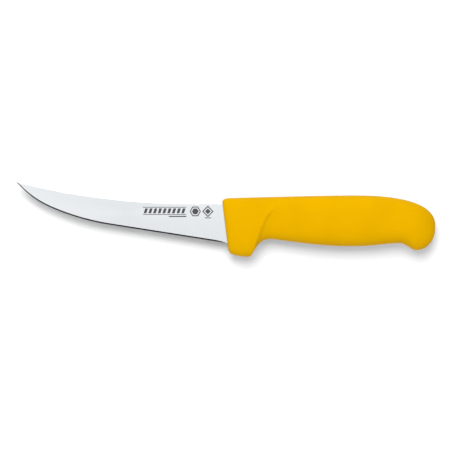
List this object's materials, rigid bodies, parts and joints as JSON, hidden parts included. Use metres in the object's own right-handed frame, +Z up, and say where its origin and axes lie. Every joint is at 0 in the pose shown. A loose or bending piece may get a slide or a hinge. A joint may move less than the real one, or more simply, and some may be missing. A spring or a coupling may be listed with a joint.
{
  "type": "boning knife",
  "caption": "Curved boning knife: taper-ground blade with a hidden tang, and a soft overmoulded handle with a finger guard and a hooked pommel.",
  "frame": {"origin": "middle of the knife's outline box, on the surface it lies on", "axes": "+X runs from the blade's tip to the pommel, +Y from the cutting edge to the spine, and +Z up through the thickness, with the knife lying on its side"},
  "size_m": [0.2627, 0.047, 0.021],
  "materials": {
    "blade_steel": "satin, ground across the blade",
    "core_plastic": "as moulded, hidden inside the handle",
    "grip_skin": "soft yellow thermoplastic elastomer, matt and finely textured"
  },
  "bodies": {
    "root": {"blade": "blade_steel", "handle_core": "core_plastic", "handle_grip": "grip_skin"}
  },
  "joints": []
}
